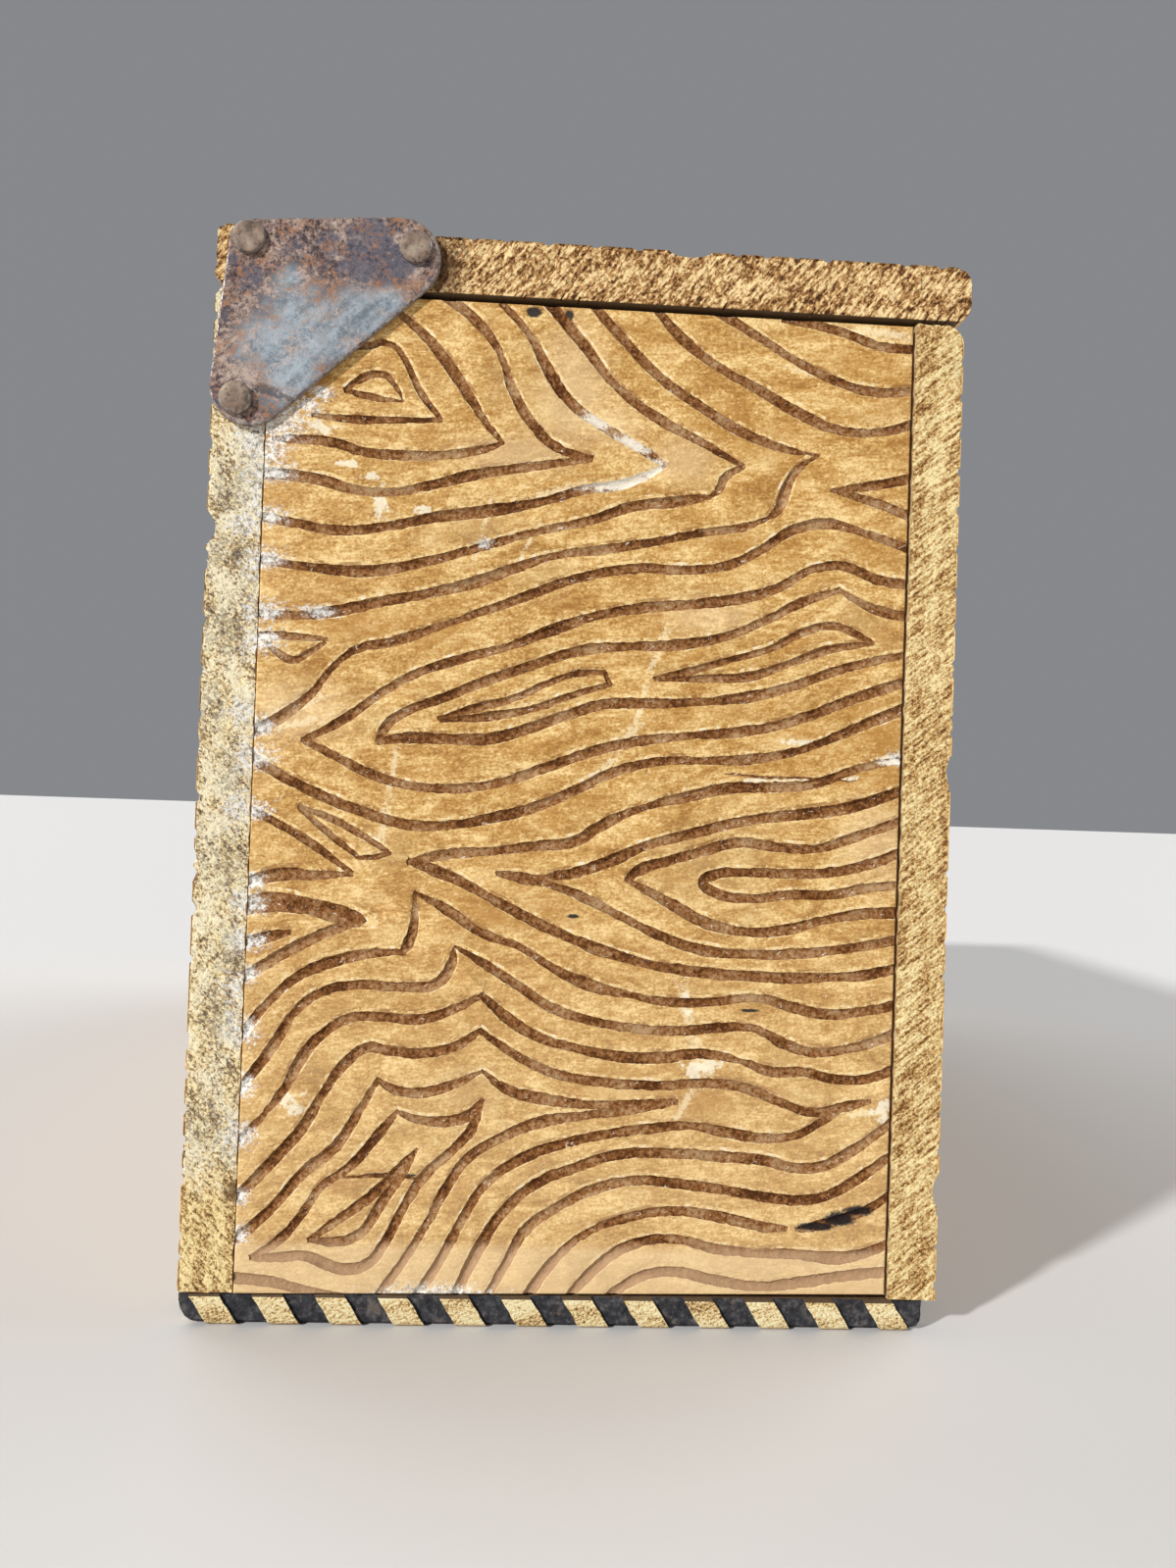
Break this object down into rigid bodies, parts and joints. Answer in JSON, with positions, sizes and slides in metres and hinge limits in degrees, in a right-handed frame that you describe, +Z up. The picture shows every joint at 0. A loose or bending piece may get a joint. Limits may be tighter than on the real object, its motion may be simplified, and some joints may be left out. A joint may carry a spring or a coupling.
{
  "type": "postcard box",
  "caption": "Upright nailed wooden box for postcards, carved with wood-grain lines, whose full-length lid swings back on a steel corner plate nailed at each end.",
  "frame": {"origin": "under the middle of the box, on the surface that it stands on", "axes": "+X along the box from the left end to the right end, -Y is the front where the lid lifts, +Z up"},
  "size_m": [0.3088, 0.1124, 0.1621],
  "materials": {
    "carved_wood": "satin varnish over burnt-in grain lines",
    "striped_wood": "bare wood with burnt stripes on its edges",
    "rusted_plate": "rusted tin plate",
    "rusted_nail": "rusted steel"
  },
  "bodies": {
    "box": {"bottom_board": "striped_wood", "front_board": "carved_wood", "back_board": "carved_wood", "left_end_panel": "carved_wood", "right_end_panel": "carved_wood", "left_pivot_nail": "rusted_nail", "right_pivot_nail": "rusted_nail", "front_brads": "rusted_nail", "back_brads": "rusted_nail", "bottom_brads": "rusted_nail"},
    "lid": {"lid_board": "carved_wood", "left_hinge_plate": "rusted_plate", "right_hinge_plate": "rusted_plate", "left_lid_nails": "rusted_nail", "right_lid_nails": "rusted_nail"}
  },
  "joints": [
    {"name": "lid_hinge", "type": "hinge", "parent": "box", "child": "lid", "pos_m": [0, 0.05235, 0.1341], "axis": [-1, 0, 0], "range_deg": [0, 155]}
  ]
}
